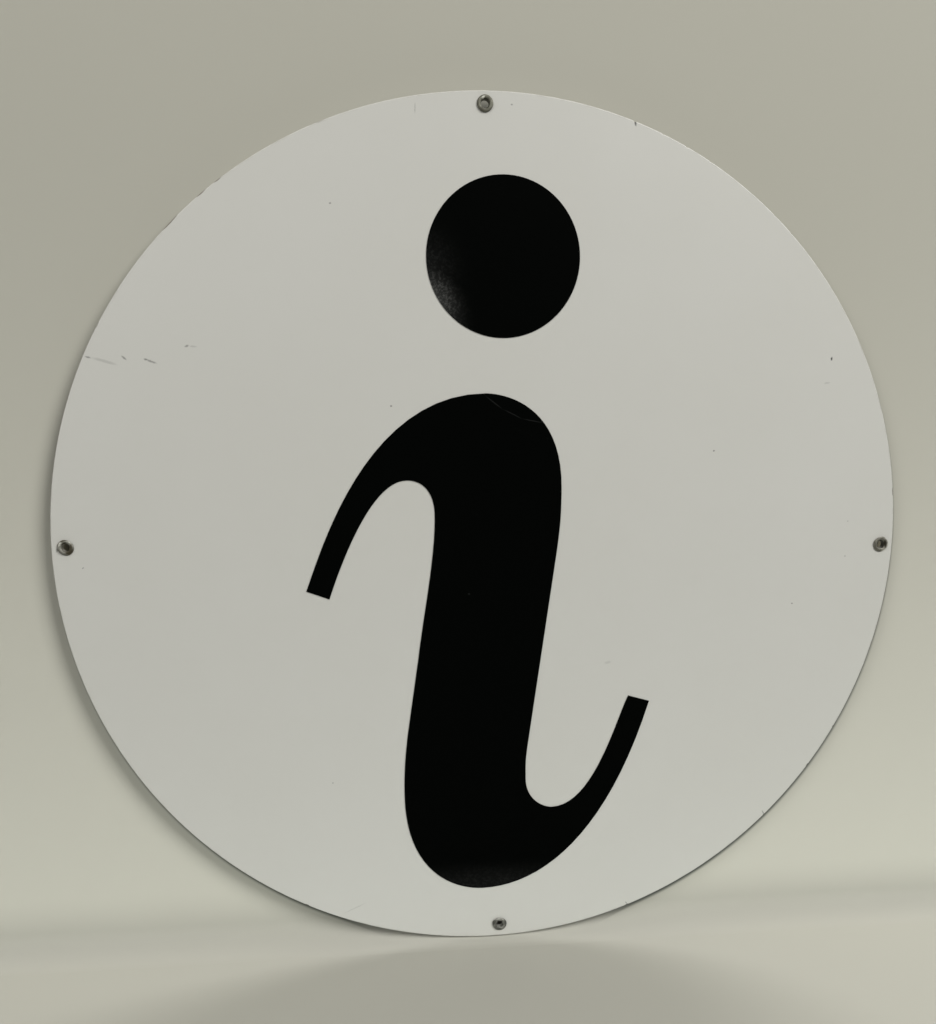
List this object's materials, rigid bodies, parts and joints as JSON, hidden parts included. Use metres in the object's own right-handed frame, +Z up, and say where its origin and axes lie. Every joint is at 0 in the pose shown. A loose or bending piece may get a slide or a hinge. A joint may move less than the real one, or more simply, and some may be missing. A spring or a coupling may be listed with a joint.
{
  "type": "information sign",
  "caption": "Round flat information sign with a black slanted letter i on a white painted disc, with metal eyelets near the rim for screws.",
  "frame": {"origin": "behind the disc's centre, on the plane that the flat backs of the four eyelets bear on, which is the wall's face", "axes": "+Z up on the sign as it is read, +X to the reader's right, the front faces -Y and the wall is towards +Y"},
  "size_m": [0.45, 0.0046, 0.45],
  "materials": {
    "white_paint": "gloss white paint, lightly scuffed, with small chips along the rim",
    "black_film": "satin black self-adhesive film",
    "plated_steel": "plated steel, tarnished",
    "dull_steel": "dull plated steel"
  },
  "bodies": {
    "root": {"panel": "white_paint", "figure_dot": "black_film", "figure_stem": "black_film", "eyelet_top": "plated_steel", "eyelet_right": "plated_steel", "eyelet_bottom": "plated_steel", "eyelet_left": "plated_steel", "washer_top": "dull_steel", "washer_right": "dull_steel", "washer_bottom": "dull_steel", "washer_left": "dull_steel"}
  },
  "joints": []
}
